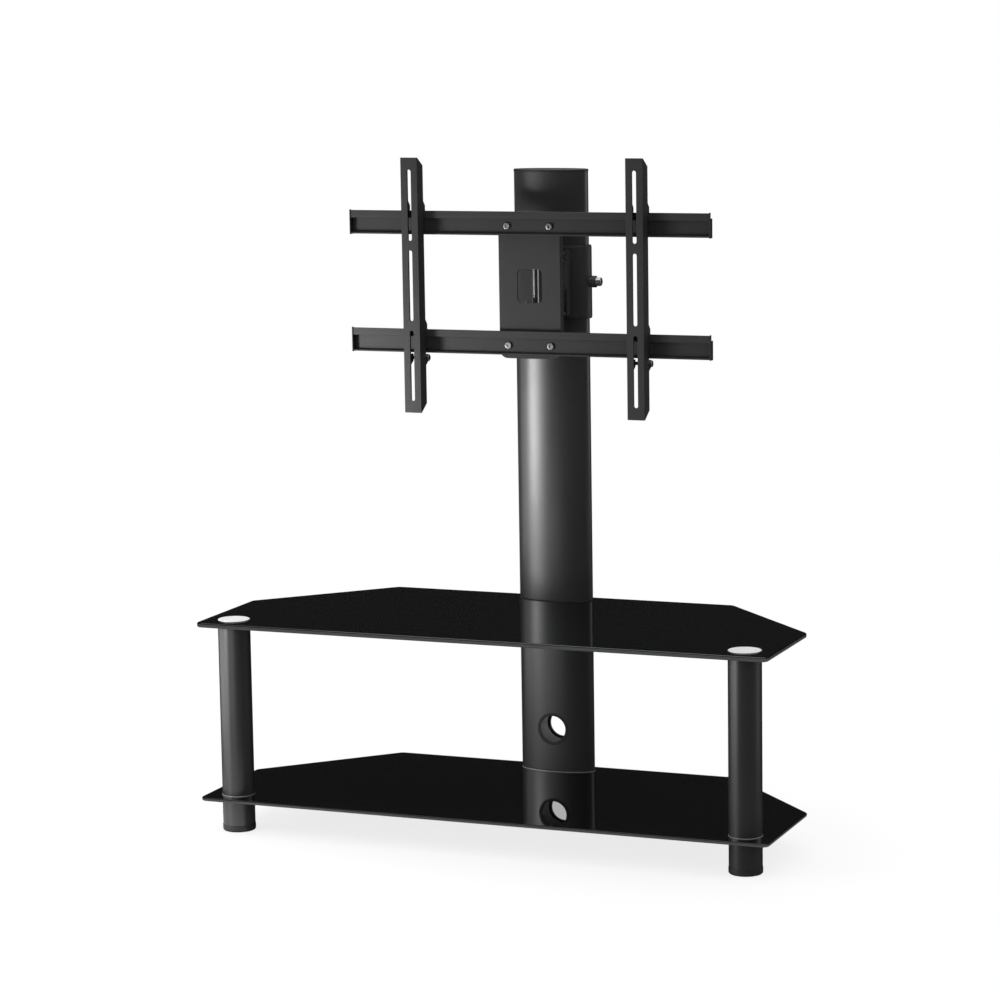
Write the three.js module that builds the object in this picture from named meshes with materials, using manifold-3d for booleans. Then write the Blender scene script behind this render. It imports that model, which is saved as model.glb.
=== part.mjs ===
// Glass media stand with an oval column and a screen mount that slides, swivels and spreads.
// Millimetres, +Z up, the front faces -Y, the origin is on the floor under the middle of the glass.
import * as THREE from 'three';
import { mergeVertices } from 'three/addons/utils/BufferGeometryUtils.js';
import Module from 'manifold-3d';

const wasm = await Module();
wasm.setup();

// Glass shelves
const shelfWidth = 1000;
const shelfDepth = 420;
const shelfSideRun = 219;
const shelfRearChamfer = 190;
const shelfCornerRadius = 12;
const shelfArris = 1.5;
const upperGlass = 8;
const lowerGlass = 6;
const lowerShelfHeight = 61.5;
const shelfClearHeight = 291.5;

// Fits shared by all pieces
const seatGap = 0.3;
const boltPlay = 0.5;
const cutOverrun = 2;

// Gaskets between glass and metal
const gasketThickness = 1;
const gasketLip = 0.8;
const gasketBand = 8;
const capGasketThickness = 0.5;

// Front legs
const legSideInset = 50.5;
const legFrontInset = 46;
const legDiameter = 55;
const legWall = 1.5;
const endPlate = 4;
const rodDiameter = 8;
const rodThreadEnd = 5;
const rodNutWidth = 13;
const rodNutHeight = 6.5;
const capInset = 0.8;
const capHeight = 0.8;
const capEdge = 0.25;
const capBossDiameter = 14;
const capBossLength = 12;
const capBossPlay = 1;
const capGrooveRadius = 17;
const capGrooveWidth = 1.4;
const capGrooveDepth = 0.2;
const footPadHeight = 11;
const footPadLip = 0.6;
const footPadRound = 3;
const footPadPlug = 9;

// Column
const columnWidth = 133;
const columnDepth = 54;
const columnWall = 2;
const columnInset = 32;
const columnHeight = 1096;
const columnBoltInset = 20.5;
const columnBoltDiameter = 10;
const columnBoltHeadWidth = 17;
const columnBoltHeadHeight = 6.5;
const columnNutHeight = 8;
const cableHoleDiameter = 52;
const cableHoleHeight = 137;
const cableEntryHeight = 640;
const cablePassDiameter = 40;
const columnCapHeight = 4;
const columnCapEdge = 1.2;
const columnCapLip = 0.5;
const columnCapPlug = 14;

// Height carriage that slides on the column
const mountHeight = 910;
const sleeveHeight = 120;
const sleeveWall = 2.5;
const linerThickness = 1.5;
const linerHeight = 30;
const linerFlange = 2;
const linerFlangeInset = 0.6;
const padWidth = 84;
const padHeight = 110;
const padReach = 6.4;
const clampBossDiameter = 20;
const clampBossReach = 9;
const clampBoltDiameter = 8;
const clampBoltHeadDiameter = 15;
const clampBoltHeadLength = 9;
const clampBoltSocket = 6;
const clampBoltSocketDepth = 5;

// Swivel joint
const swivelReach = 40;
const swivelPinDiameter = 12;
const swivelPinHeadDiameter = 22;
const swivelPinHeadHeight = 5;
const swivelPinTail = 13;
const swivelNutWidth = 19;
const swivelNutHeight = 8;
const earRadius = 17;
const earThickness = 4;
const earSpacing = 98;
const bracketPlate = 3;
const washerThickness = 1.5;
const washerDiameter = 30;
const headEarWidth = 70;
const headPlateStandoff = 25;
const headPlateWidth = 110;
const headPlateHeight = 244;
const headPlateCorner = 14;
const headFlangeReach = 12;
const headWindowWidth = 44;
const headWindowHeight = 56;
const headWindowCorner = 8;

// Rails
const railLength = 640;
const railSpacing = 200;
const railHeight = 30;
const railDepth = 12;
const railThickness = 2.5;
const railLipHeight = 10;
const railCapThickness = 2;
const railCapBorder = 1;

// Screen arms
const armSpacing = 400;
const armLength = 430;
const armWidth = 30;
const armDepth = 25;
const armThickness = 2.5;
const armEndSlope = 14;
const armSlotWidth = 7;
const armSlotCount = 3;
const armSlotBridge = 16;
const armSlotMargin = 20;
const hookBridge = 8;
const hookFinger = 4.2;
const hookFingerGap = 1.5;
const tailDrop = 30;
const tailHeight = 12;
const tailReach = 10;
const lockBoltDiameter = 6;
const lockBoltHeadDiameter = 11;
const lockBoltHeadLength = 4;

// Steps round a circle or an oval
const tubeSteps = 22;
const ovalSteps = 16;
const boltSteps = 10;
const holeSteps = 10;
const cornerSteps = 4;
const rimSteps = 2;

// Heights worked out from the sizes above
const lowerShelfTop = lowerShelfHeight;
const lowerShelfBottom = lowerShelfTop - lowerGlass;
const upperShelfBottom = lowerShelfTop + shelfClearHeight;
const upperShelfTop = upperShelfBottom + upperGlass;
const footTop = lowerShelfBottom - gasketThickness;
const lowerSegmentBottom = lowerShelfTop + gasketThickness;
const lowerSegmentTop = upperShelfBottom - gasketThickness;
const upperSegmentBottom = upperShelfTop + gasketThickness;

const legRadius = legDiameter / 2;
const legX = shelfWidth / 2 - legSideInset;
const legY = legFrontInset - shelfDepth / 2;
const rodHoleRadius = rodDiameter / 2 + boltPlay;
const capBossHoleRadius = capBossDiameter / 2 + capBossPlay;
const columnY = shelfDepth / 2 - columnInset;
const columnA = columnWidth / 2;
const columnB = columnDepth / 2;
const columnBoltX = columnA - columnBoltInset;
const columnBoltHoleRadius = columnBoltDiameter / 2 + boltPlay;

const solidOf = (geometry) => {
  const bare = geometry.clone();
  bare.deleteAttribute('normal');
  bare.deleteAttribute('uv');
  const merged = mergeVertices(bare);
  const vertProperties = new Float32Array(merged.attributes.position.array);
  const triVerts = new Uint32Array(merged.index.array);
  return new wasm.Manifold(new wasm.Mesh({ numProp: 3, vertProperties, triVerts }));
};

const geometryOf = (solid) => {
  const mesh = solid.getMesh();
  const geometry = new THREE.BufferGeometry();
  geometry.setAttribute('position', new THREE.BufferAttribute(mesh.vertProperties, 3));
  geometry.setIndex(new THREE.BufferAttribute(mesh.triVerts, 1));
  return geometry;
};

const join = (first, ...others) => others.reduce((sum, other) => sum.add(other), first);
const cut = (first, ...others) => others.reduce((rest, other) => rest.subtract(other), first);

// A solid of one outline in XY, from the height low to the height high
const raise = (shape, low, high, steps = holeSteps) => {
  const settings = { depth: high - low, bevelEnabled: false, curveSegments: steps };
  return solidOf(new THREE.ExtrudeGeometry(shape, settings).translate(0, 0, low));
};

// The same with both rims chamfered or rounded inside the outline
const raiseSoft = (shape, low, high, edge, edgeSteps, steps = holeSteps) => {
  const settings = {
    depth: high - low - 2 * edge,
    bevelThickness: edge,
    bevelSize: edge,
    bevelOffset: -edge,
    bevelSegments: edgeSteps,
    curveSegments: steps,
  };
  return solidOf(new THREE.ExtrudeGeometry(shape, settings).translate(0, 0, low + edge));
};

// A solid of one outline drawn in YZ, from one X to another
const spread = (shape, left, right) => {
  const settings = { depth: right - left, bevelEnabled: false, curveSegments: holeSteps };
  const geometry = new THREE.ExtrudeGeometry(shape, settings);
  geometry.rotateX(Math.PI / 2).rotateZ(Math.PI / 2);
  return solidOf(geometry.translate(left, 0, 0));
};

// A turned solid round Z from a closed profile of [radius, height] points
const turn = (profile, steps = tubeSteps) => {
  const points = profile.map(([radius, height]) => new THREE.Vector2(radius, height));
  points.push(points[0].clone());
  return solidOf(new THREE.LatheGeometry(points, steps).rotateX(Math.PI / 2));
};

const rod = (diameter, low, high, steps = boltSteps) => {
  const geometry = new THREE.CylinderGeometry(diameter / 2, diameter / 2, high - low, steps);
  return solidOf(geometry.rotateX(Math.PI / 2).translate(0, 0, (low + high) / 2));
};

const block = (left, right, front, rear, low, high) => {
  const geometry = new THREE.BoxGeometry(right - left, rear - front, high - low);
  return solidOf(geometry.translate((left + right) / 2, (front + rear) / 2, (low + high) / 2));
};

const polygon = (corners) => new THREE.Shape(corners.map(([x, y]) => new THREE.Vector2(x, y)));

const circle = (radius, x = 0, y = 0) => {
  const shape = new THREE.Shape();
  shape.absarc(x, y, radius, 0, 2 * Math.PI, false);
  return shape;
};

const oval = (halfWidth, halfDepth) => {
  const shape = new THREE.Shape();
  shape.absellipse(0, 0, halfWidth, halfDepth, 0, 2 * Math.PI, false, 0);
  return shape;
};

const hexagon = (acrossFlats) => {
  const radius = acrossFlats / Math.sqrt(3);
  const corners = Array.from({ length: 6 }, (_, i) => {
    const angle = (i * Math.PI) / 3;
    return [radius * Math.cos(angle), radius * Math.sin(angle)];
  });
  return polygon(corners);
};

// An outline whose corners are rounded by arcs that touch both sides
const roundedPolygon = (corners, radius) => {
  const shape = new THREE.Shape();
  const count = corners.length;
  corners.forEach(([x, y], i) => {
    const corner = new THREE.Vector2(x, y);
    const before = new THREE.Vector2(...corners[(i + count - 1) % count]).sub(corner).normalize();
    const after = new THREE.Vector2(...corners[(i + 1) % count]).sub(corner).normalize();
    const half = Math.acos(before.dot(after)) / 2;
    const middle = before.clone().add(after).normalize();
    const centre = corner.clone().addScaledVector(middle, radius / Math.sin(half));
    const reach = radius / Math.tan(half);
    const start = corner.clone().addScaledVector(before, reach).sub(centre);
    const end = corner.clone().addScaledVector(after, reach).sub(centre);
    shape.absarc(centre.x, centre.y, radius, start.angle(), end.angle(), false);
  });
  return shape;
};

const roundedRectangle = (width, height, radius) => {
  const x = width / 2;
  const y = height / 2;
  return roundedPolygon([[-x, -y], [x, -y], [x, y], [-x, y]], radius);
};

const finishes = {
  blackGlass: { color: 0x0b0c0e, roughness: 0.04, metalness: 0.0 },
  glossBlack: { color: 0x17181a, roughness: 0.18, metalness: 0.3 },
  satinBlack: { color: 0x1c1d1f, roughness: 0.38, metalness: 0.2 },
  mountBlack: { color: 0x202123, roughness: 0.5, metalness: 0.2 },
  brushedSilver: { color: 0xd2d4d6, roughness: 0.28, metalness: 1.0 },
  zincSteel: { color: 0xa9adb0, roughness: 0.35, metalness: 1.0 },
  blackRubber: { color: 0x141414, roughness: 0.85, metalness: 0.0 },
  blackPlastic: { color: 0x18191a, roughness: 0.5, metalness: 0.0 },
  paleNylon: { color: 0xd8d6cf, roughness: 0.55, metalness: 0.0 },
};

const piece = (name, finish, solid) => {
  const material = new THREE.MeshStandardMaterial(finishes[finish]);
  const mesh = new THREE.Mesh(geometryOf(solid), material);
  mesh.name = name;
  return mesh;
};

const placed = (object, x, y, z) => {
  object.position.set(x, y, z);
  return object;
};

// Glass shelves: straight front and sides, chamfered rear corners
const shelfOutline = () => {
  const half = shelfWidth / 2;
  const rearHalf = half - shelfRearChamfer;
  const front = -shelfDepth / 2;
  const rear = shelfDepth / 2;
  const turnY = front + shelfSideRun;
  const corners = [
    [-half, front],
    [half, front],
    [half, turnY],
    [rearHalf, rear],
    [-rearHalf, rear],
    [-half, turnY],
  ];
  return roundedPolygon(corners, shelfCornerRadius);
};

const shelf = (name, thickness, legHoleRadius, passRadius) => {
  const shape = shelfOutline();
  for (const side of [-1, 1]) {
    shape.holes.push(circle(legHoleRadius, side * legX, legY));
    shape.holes.push(circle(columnBoltHoleRadius, side * columnBoltX, columnY));
  }
  if (passRadius) {
    shape.holes.push(circle(passRadius, 0, columnY));
  }
  return piece(name, 'blackGlass', raiseSoft(shape, 0, thickness, shelfArris, 1, cornerSteps));
};

// Rings and plates that lie between glass and metal
const roundGasket = (name, finish, thickness) => {
  const outer = legRadius + gasketLip;
  const inner = legRadius - gasketBand;
  const profile = [[inner, 0], [outer, 0], [outer, thickness], [inner, thickness]];
  return piece(name, finish, turn(profile));
};

const ovalGasket = (name, finish) => {
  const ring = oval(columnA + gasketLip, columnB + gasketLip);
  ring.holes.push(oval(columnA - columnWall, columnB - columnWall));
  return piece(name, finish, raise(ring, 0, gasketThickness, ovalSteps));
};

// Front legs
const legTube = (name) => {
  const top = lowerSegmentTop - lowerSegmentBottom;
  const bore = legRadius - legWall;
  const profile = [
    [rodHoleRadius, 0],
    [legRadius, 0],
    [legRadius, top],
    [capBossHoleRadius, top],
    [capBossHoleRadius, top - endPlate],
    [bore, top - endPlate],
    [bore, endPlate],
    [rodHoleRadius, endPlate],
  ];
  return piece(name, 'glossBlack', turn(profile));
};

const legCap = (name) => {
  const radius = legRadius - capInset;
  const boss = capBossDiameter / 2;
  const bore = rodDiameter / 2 + seatGap;
  const grooveOuter = capGrooveRadius + capGrooveWidth / 2;
  const grooveInner = capGrooveRadius - capGrooveWidth / 2;
  const profile = [
    [bore, -capBossLength],
    [boss, -capBossLength],
    [boss, 0],
    [radius, 0],
    [radius, capHeight - capEdge],
    [radius - capEdge, capHeight],
    [grooveOuter, capHeight],
    [grooveOuter, capHeight - capGrooveDepth],
    [grooveInner, capHeight - capGrooveDepth],
    [grooveInner, capHeight],
    [0, capHeight],
    [0, 0],
    [bore, 0],
  ];
  return piece(name, 'brushedSilver', turn(profile));
};

const footTube = (name) => {
  const height = footTop - footPadHeight;
  const bore = legRadius - legWall;
  const profile = [
    [bore, 0],
    [legRadius, 0],
    [legRadius, height],
    [rodHoleRadius, height],
    [rodHoleRadius, height - endPlate],
    [bore, height - endPlate],
  ];
  return piece(name, 'glossBlack', turn(profile));
};

const footPad = (name) => {
  const radius = legRadius + footPadLip;
  const plug = legRadius - legWall - seatGap;
  const round = Array.from({ length: cornerSteps }, (_, i) => {
    const angle = (i / (cornerSteps - 1)) * (Math.PI / 2);
    const inset = footPadRound * (1 - Math.sin(angle));
    const rise = footPadRound * (1 - Math.cos(angle));
    return [radius - inset, rise];
  });
  const profile = [
    [0, 0],
    ...round,
    [radius, footPadHeight - footPadLip],
    [radius - footPadLip, footPadHeight],
    [plug, footPadHeight],
    [plug, footPadHeight + footPadPlug],
    [0, footPadHeight + footPadPlug],
  ];
  return piece(name, 'blackPlastic', turn(profile));
};

const nut = (name, acrossFlats, height, boltDiameter) => {
  const shape = hexagon(acrossFlats);
  shape.holes.push(circle(boltDiameter / 2 + seatGap));
  return piece(name, 'zincSteel', raise(shape, 0, height, boltSteps));
};

const leg = (side, x) => {
  const group = new THREE.Group();
  const plateUnderside = footTop - endPlate;
  const rodBottom = plateUnderside - rodNutHeight - rodThreadEnd;
  const capSeat = upperShelfTop + capGasketThickness;
  const rodTop = capSeat - seatGap;
  const pieces = [
    placed(footPad(`${side}_foot_pad`), 0, 0, 0),
    placed(footTube(`${side}_foot_tube`), 0, 0, footPadHeight),
    placed(roundGasket(`${side}_foot_gasket`, 'blackRubber', gasketThickness), 0, 0, footTop),
    placed(roundGasket(`${side}_leg_ring`, 'glossBlack', gasketThickness), 0, 0, lowerShelfTop),
    placed(legTube(`${side}_leg_tube`), 0, 0, lowerSegmentBottom),
    placed(roundGasket(`${side}_leg_gasket`, 'blackRubber', gasketThickness), 0, 0, lowerSegmentTop),
    placed(roundGasket(`${side}_cap_gasket`, 'blackRubber', capGasketThickness), 0, 0, upperShelfTop),
    placed(legCap(`${side}_leg_cap`), 0, 0, capSeat),
    piece(`${side}_leg_rod`, 'zincSteel', rod(rodDiameter, rodBottom, rodTop)),
    placed(
      nut(`${side}_leg_nut`, rodNutWidth, rodNutHeight, rodDiameter),
      0,
      0,
      plateUnderside - rodNutHeight,
    ),
  ];
  group.add(...pieces);
  return placed(group, x, legY, 0);
};

// Oval column: a tube with welded end plates that the bolts pass through
const columnBoltHoles = (low, high) =>
  [-1, 1].map((side) => {
    const hole = circle(columnBoltHoleRadius, side * columnBoltX, 0);
    return raise(hole, low, high);
  });

const cableHole = (front, rear, height) => {
  const geometry = new THREE.CylinderGeometry(
    cableHoleDiameter / 2,
    cableHoleDiameter / 2,
    rear - front,
    2 * holeSteps,
  );
  return solidOf(geometry.translate(0, (front + rear) / 2, 0)).translate(0, 0, height);
};

const columnSegment = (length, cavityLow, cavityHigh) => {
  const outside = raise(oval(columnA, columnB), 0, length, ovalSteps);
  const inside = oval(columnA - columnWall, columnB - columnWall);
  return cut(
    outside,
    raise(inside, cavityLow, cavityHigh, ovalSteps),
    ...columnBoltHoles(-cutOverrun, length + cutOverrun),
  );
};

const cablePass = (low, high) => raise(circle(cablePassDiameter / 2), low, high);

const lowerColumn = () => {
  const length = lowerSegmentTop - lowerSegmentBottom;
  const reach = columnB + cutOverrun;
  const segment = columnSegment(length, endPlate, length - endPlate);
  const holeZ = cableHoleHeight - lowerSegmentBottom;
  const solid = cut(
    segment,
    cableHole(-reach, reach, holeZ),
    cablePass(length / 2, length + cutOverrun),
  );
  return piece('lower_column', 'satinBlack', solid);
};

const upperColumn = () => {
  const length = columnHeight - upperSegmentBottom;
  const segment = columnSegment(length, endPlate, length + cutOverrun);
  const holeZ = cableEntryHeight - upperSegmentBottom;
  const solid = cut(
    segment,
    cableHole(0, columnB + cutOverrun, holeZ),
    cablePass(-cutOverrun, length / 2),
  );
  return piece('upper_column', 'satinBlack', solid);
};

const columnFoot = () => {
  const length = footTop - footPadHeight;
  const solid = columnSegment(length, -cutOverrun, length - endPlate);
  return piece('column_foot', 'satinBlack', solid);
};

const columnFootPad = () => {
  const pad = oval(columnA + footPadLip, columnB + footPadLip);
  const plug = oval(columnA - columnWall - seatGap, columnB - columnWall - seatGap);
  const solid = join(
    raiseSoft(pad, 0, footPadHeight, footPadRound, rimSteps, ovalSteps),
    raise(plug, footPadHeight / 2, footPadHeight + footPadPlug, ovalSteps),
  );
  return piece('column_foot_pad', 'blackPlastic', solid);
};

const columnCap = () => {
  const lid = oval(columnA + columnCapLip, columnB + columnCapLip);
  const plug = oval(columnA - columnWall - seatGap, columnB - columnWall - seatGap);
  const hollow = oval(columnA - 2 * columnWall - seatGap, columnB - 2 * columnWall - seatGap);
  const solid = cut(
    join(
      raiseSoft(lid, 0, columnCapHeight, columnCapEdge, rimSteps, ovalSteps),
      raise(plug, -columnCapPlug, columnCapHeight / 2, ovalSteps),
    ),
    raise(hollow, -columnCapPlug - cutOverrun, 0, ovalSteps),
  );
  return piece('column_top_cap', 'blackPlastic', solid);
};

const columnBolt = (name) => {
  const headTop = footTop - endPlate;
  const nutTop = upperSegmentBottom + endPlate + columnNutHeight;
  const solid = join(
    raise(hexagon(columnBoltHeadWidth), headTop - columnBoltHeadHeight, headTop),
    rod(columnBoltDiameter, headTop - columnBoltHeadHeight / 2, nutTop + rodThreadEnd),
  );
  return piece(name, 'zincSteel', solid);
};

const column = () => {
  const group = new THREE.Group();
  group.add(
    columnFootPad(),
    placed(columnFoot(), 0, 0, footPadHeight),
    placed(ovalGasket('column_foot_gasket', 'blackRubber'), 0, 0, footTop),
    placed(ovalGasket('column_base_ring', 'glossBlack'), 0, 0, lowerShelfTop),
    placed(lowerColumn(), 0, 0, lowerSegmentBottom),
    placed(ovalGasket('lower_column_gasket', 'blackRubber'), 0, 0, lowerSegmentTop),
    placed(ovalGasket('upper_column_gasket', 'blackRubber'), 0, 0, upperShelfTop),
    placed(upperColumn(), 0, 0, upperSegmentBottom),
    placed(columnCap(), 0, 0, columnHeight),
  );
  for (const [side, sign] of [['left', -1], ['right', 1]]) {
    const x = sign * columnBoltX;
    const nutPiece = nut(
      `${side}_column_nut`,
      columnBoltHeadWidth,
      columnNutHeight,
      columnBoltDiameter,
    );
    group.add(
      placed(columnBolt(`${side}_column_bolt`), x, 0, 0),
      placed(nutPiece, x, 0, upperSegmentBottom + endPlate),
    );
  }
  return placed(group, 0, columnY, 0);
};

// Height carriage: an oval sleeve on two plastic liners, clamped by a bolt on each side
const linerInner = seatGap;
const linerOuter = linerInner + linerThickness;
const sleeveInner = linerOuter + seatGap;
const sleeveOuter = sleeveInner + sleeveWall;
const padFront = -(columnB + sleeveOuter + padReach);
const swivelY = padFront - swivelReach;

const clampBore = (radius, near, far) => {
  const geometry = new THREE.CylinderGeometry(radius, radius, far - near, boltSteps);
  return solidOf(geometry.rotateZ(Math.PI / 2).translate((near + far) / 2, 0, 0));
};

const heightSleeve = () => {
  const half = sleeveHeight / 2;
  const bossEnd = columnA + sleeveOuter + clampBossReach;
  const outside = raise(oval(columnA + sleeveOuter, columnB + sleeveOuter), -half, half, ovalSteps);
  const inside = oval(columnA + sleeveInner, columnB + sleeveInner);
  const pad = block(-padWidth / 2, padWidth / 2, padFront, 0, -padHeight / 2, padHeight / 2);
  const boss = clampBore(clampBossDiameter / 2, -bossEnd, bossEnd);
  const bore = clampBore(clampBoltDiameter / 2 + seatGap, -bossEnd - cutOverrun, bossEnd + cutOverrun);
  const solid = cut(
    join(outside, pad, boss),
    raise(inside, -half - cutOverrun, half + cutOverrun, ovalSteps),
    bore,
  );
  return piece('height_sleeve', 'mountBlack', solid);
};

const sleeveLiner = (name) => {
  const ring = oval(columnA + linerOuter, columnB + linerOuter);
  const flangeEdge = sleeveOuter - linerFlangeInset;
  const flange = oval(columnA + flangeEdge, columnB + flangeEdge);
  const bore = oval(columnA + linerInner, columnB + linerInner);
  const solid = cut(
    join(
      raise(ring, -linerHeight, linerFlange / 2, ovalSteps),
      raise(flange, 0, linerFlange, ovalSteps),
    ),
    raise(bore, -linerHeight - cutOverrun, linerFlange + cutOverrun, ovalSteps),
  );
  return piece(name, 'blackPlastic', solid);
};

const clampBolt = (name) => {
  const tip = columnA + seatGap;
  const headStart = columnA + sleeveOuter + clampBossReach + seatGap;
  const headEnd = headStart + clampBoltHeadLength;
  const socket = raise(hexagon(clampBoltSocket), headEnd - clampBoltSocketDepth, headEnd + cutOverrun);
  const solid = cut(
    join(
      rod(clampBoltDiameter, tip, headStart + clampBoltHeadLength / 2),
      rod(clampBoltHeadDiameter, headStart, headEnd, 2 * boltSteps),
    ),
    socket,
  );
  return piece(name, 'zincSteel', solid);
};

// An ear that narrows from a plate to a round nose about the swivel pin
const earShape = (halfWidth, plateY, pinY, holeRadius) => {
  const shape = new THREE.Shape();
  const forward = pinY < plateY;
  const ends = forward ? [0, Math.PI] : [Math.PI, 0];
  const sign = forward ? 1 : -1;
  shape.moveTo(-sign * halfWidth, plateY);
  shape.lineTo(sign * halfWidth, plateY);
  shape.lineTo(sign * earRadius, pinY);
  shape.absarc(0, pinY, earRadius, ends[0], ends[1], true);
  shape.closePath();
  shape.holes.push(circle(holeRadius, 0, pinY));
  return shape;
};

const swivelBase = () => {
  const half = padHeight / 2;
  const plateFront = padFront - bracketPlate;
  const hole = swivelPinDiameter / 2 + seatGap;
  const ear = earShape(padWidth / 2, padFront, swivelY, hole);
  const solid = join(
    block(-padWidth / 2, padWidth / 2, plateFront, padFront, -half, half),
    raise(ear, earSpacing / 2, earSpacing / 2 + earThickness),
    raise(ear, -earSpacing / 2 - earThickness, -earSpacing / 2),
  );
  return piece('swivel_base', 'mountBlack', solid);
};

const swivelPin = () => {
  const top = earSpacing / 2 + earThickness;
  const solid = join(
    rod(swivelPinDiameter, -top - swivelPinTail, top + swivelPinHeadHeight / 2, 2 * boltSteps),
    rod(swivelPinHeadDiameter, top, top + swivelPinHeadHeight, 2 * boltSteps),
  );
  return piece('swivel_pin', 'zincSteel', solid);
};

const swivelWasher = (name) => {
  const inner = swivelPinDiameter / 2 + seatGap;
  const outer = washerDiameter / 2;
  const profile = [[inner, 0], [outer, 0], [outer, washerThickness], [inner, washerThickness]];
  return piece(name, 'paleNylon', turn(profile, 2 * boltSteps));
};

const carriage = () => {
  const group = new THREE.Group();
  const half = sleeveHeight / 2;
  const washerSeat = earSpacing / 2 - seatGap - washerThickness;
  const lowerLiner = sleeveLiner('lower_sleeve_liner');
  lowerLiner.rotation.y = Math.PI;
  const leftBolt = clampBolt('left_clamp_bolt');
  leftBolt.rotation.y = -Math.PI / 2;
  const rightBolt = clampBolt('right_clamp_bolt');
  rightBolt.rotation.y = Math.PI / 2;
  const pinNut = nut('swivel_nut', swivelNutWidth, swivelNutHeight, swivelPinDiameter);
  const nutSeat = -earSpacing / 2 - earThickness - swivelNutHeight;
  group.add(
    heightSleeve(),
    placed(sleeveLiner('upper_sleeve_liner'), 0, 0, half),
    placed(lowerLiner, 0, 0, -half),
    leftBolt,
    rightBolt,
    swivelBase(),
    placed(swivelPin(), 0, swivelY, 0),
    placed(pinNut, 0, swivelY, nutSeat),
    placed(swivelWasher('upper_swivel_washer'), 0, swivelY, washerSeat),
    placed(swivelWasher('lower_swivel_washer'), 0, swivelY, -washerSeat - washerThickness),
  );
  return placed(group, 0, columnY, mountHeight);
};

// Swivel head: its plate stands in front of the pin and carries both rails
const headPlateRear = -headPlateStandoff;
const headPlateFront = headPlateRear - bracketPlate;

const swivelHead = () => {
  const half = headPlateWidth / 2;
  const high = headPlateHeight / 2;
  const earTop = earSpacing / 2 - 2 * seatGap - washerThickness;
  const earLow = earTop - earThickness;
  const hole = swivelPinDiameter / 2 + seatGap;
  const ear = earShape(headEarWidth / 2, headPlateFront, 0, hole);
  const face = roundedRectangle(headPlateWidth, headPlateHeight, headPlateCorner);
  face.holes.push(roundedRectangle(headWindowWidth, headWindowHeight, headWindowCorner));
  const settings = { depth: bracketPlate, bevelEnabled: false, curveSegments: cornerSteps };
  const plate = new THREE.ExtrudeGeometry(face, settings);
  plate.rotateX(Math.PI / 2).translate(0, headPlateRear, 0);
  const flangeHigh = high - headPlateCorner;
  const flangeRear = headPlateRear + headFlangeReach;
  const flanges = [[-half, bracketPlate - half], [half - bracketPlate, half]].map(([left, right]) =>
    block(left, right, headPlateFront, flangeRear, -flangeHigh, flangeHigh),
  );
  const solid = join(
    solidOf(plate),
    ...flanges,
    raise(ear, earLow, earTop),
    raise(ear, -earTop, -earLow),
  );
  return piece('swivel_head', 'mountBlack', solid);
};

const railFront = headPlateFront - railDepth;

// Rail section in YZ about its own middle height: a channel with an upright lip at its front edge
const railShape = () => {
  const rear = headPlateFront;
  const half = railHeight / 2;
  const inner = half - railThickness;
  return polygon([
    [rear, -half],
    [rear, half],
    [railFront + railThickness, half],
    [railFront + railThickness, half + railLipHeight],
    [railFront, half + railLipHeight],
    [railFront, inner],
    [rear - railThickness, inner],
    [rear - railThickness, -inner],
    [railFront, -inner],
    [railFront, -half],
  ]);
};

const rail = (name) =>
  piece(name, 'mountBlack', spread(railShape(), -railLength / 2, railLength / 2));

const railCap = (name) => {
  const half = railHeight / 2 + railCapBorder;
  const front = railFront - railCapBorder;
  const shape = polygon([
    [headPlateFront, -half],
    [headPlateFront, half],
    [railFront + railThickness + railCapBorder, half],
    [railFront + railThickness + railCapBorder, half + railLipHeight],
    [front, half + railLipHeight],
    [front, -half],
  ]);
  return piece(name, 'blackPlastic', spread(shape, 0, railCapThickness));
};

const head = () => {
  const group = new THREE.Group();
  group.add(swivelHead());
  for (const [level, sign] of [['upper', 1], ['lower', -1]]) {
    const z = (sign * railSpacing) / 2;
    const end = railLength / 2;
    group.add(
      placed(rail(`${level}_rail`), 0, 0, z),
      placed(railCap(`${level}_rail_left_cap`), -end - railCapThickness, 0, z),
      placed(railCap(`${level}_rail_right_cap`), end, 0, z),
    );
  }
  return placed(group, 0, columnY + swivelY, mountHeight);
};

// Screen arms: slotted channels whose hooks drop over the lips of both rails
const armRear = railFront - seatGap;
const armFlangeRear = armRear - armDepth + armThickness;
const armFront = armFlangeRear - armThickness;
const tailZ = -railSpacing / 2 - tailDrop + tailHeight / 2;
const lockBoltY = railFront + tailReach / 2;

// Side web in YZ: hooks at both rails, a tail below the lower one, sloped ends
const webShape = () => {
  const half = armLength / 2;
  const hookRear = railFront + railThickness + seatGap + hookFinger;
  const lipRear = railFront + railThickness + seatGap;
  const hook = (railZ) => {
    const lipTop = railZ + railHeight / 2 + railLipHeight + seatGap;
    const fingerLow = railZ + railHeight / 2 + hookFingerGap;
    return [
      [armRear, lipTop],
      [lipRear, lipTop],
      [lipRear, fingerLow],
      [hookRear, fingerLow],
      [hookRear, lipTop + hookBridge],
      [armRear, lipTop + 2 * hookBridge],
    ];
  };
  const tailRear = railFront + tailReach;
  return polygon([
    [armFront, -half],
    [armFlangeRear, -half],
    [armRear, -half + armEndSlope],
    [armRear, tailZ - tailHeight],
    [tailRear, tailZ - tailHeight / 2],
    [tailRear, tailZ + tailHeight / 2],
    [armRear, tailZ + tailHeight / 2],
    ...hook(-railSpacing / 2),
    ...hook(railSpacing / 2),
    [armRear, half - armEndSlope],
    [armFlangeRear, half],
    [armFront, half],
  ]);
};

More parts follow.
